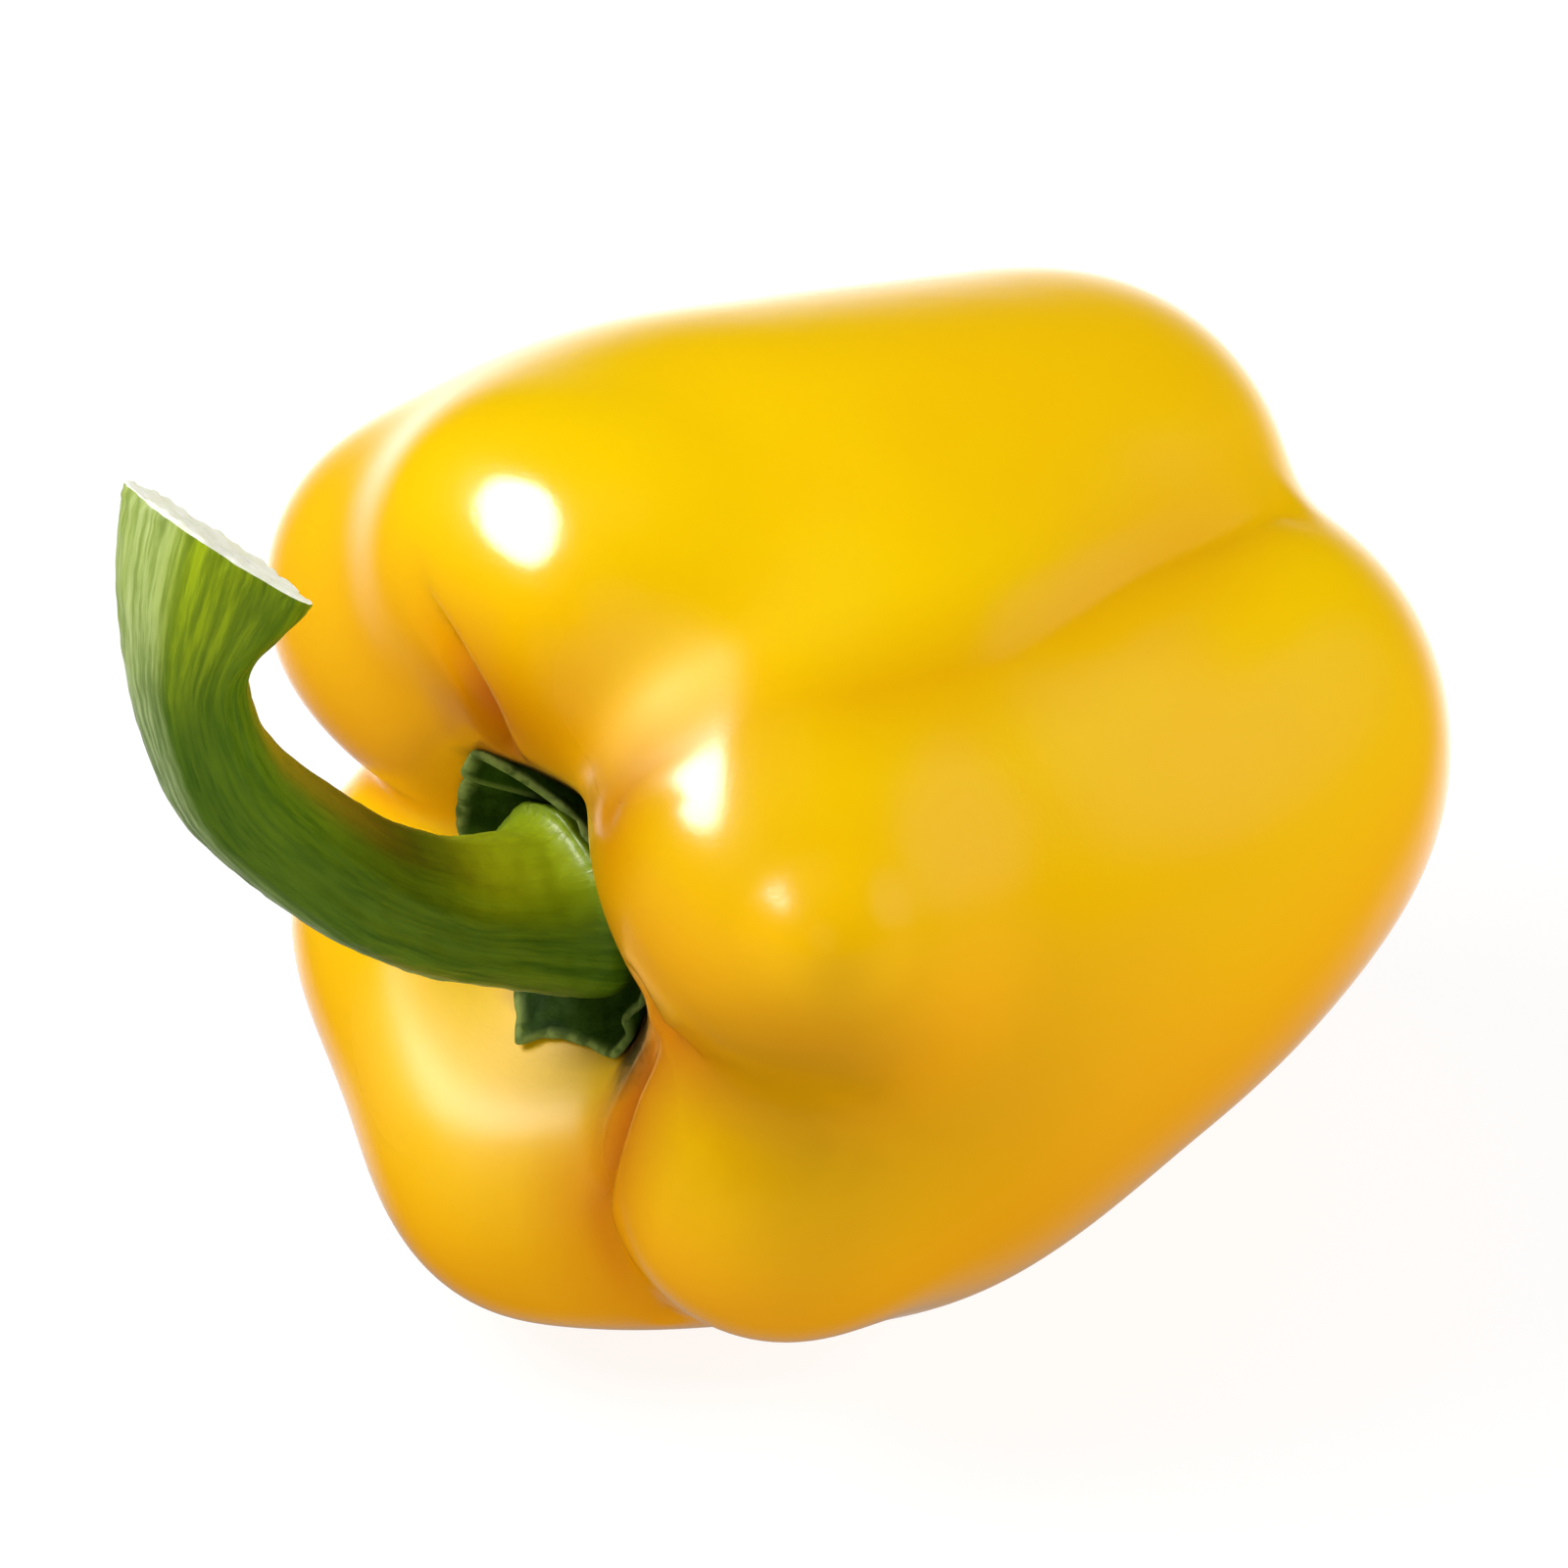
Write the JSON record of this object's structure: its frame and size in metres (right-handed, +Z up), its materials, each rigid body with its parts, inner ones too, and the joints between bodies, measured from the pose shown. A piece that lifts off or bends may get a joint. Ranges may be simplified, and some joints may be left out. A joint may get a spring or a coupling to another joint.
{
  "type": "bell pepper",
  "caption": "Ripe yellow bell pepper lying on its side, with blunt lobes, a deep stem cavity, a toothed green calyx and a curved cut stem.",
  "frame": {"origin": "on the surface that the pepper lies on, under the middle of its bounding box", "axes": "+X from the stem end to the blossom end, +Z up, and +Y completes a right-handed frame"},
  "size_m": [0.1278, 0.0918, 0.108],
  "materials": {
    "skin": "glossy waxy skin",
    "calyx": "satin dark green",
    "stem": "satin green with fine streaks along it"
  },
  "bodies": {
    "root": {"fruit": "skin", "calyx": "calyx", "stem": "stem"}
  },
  "joints": []
}
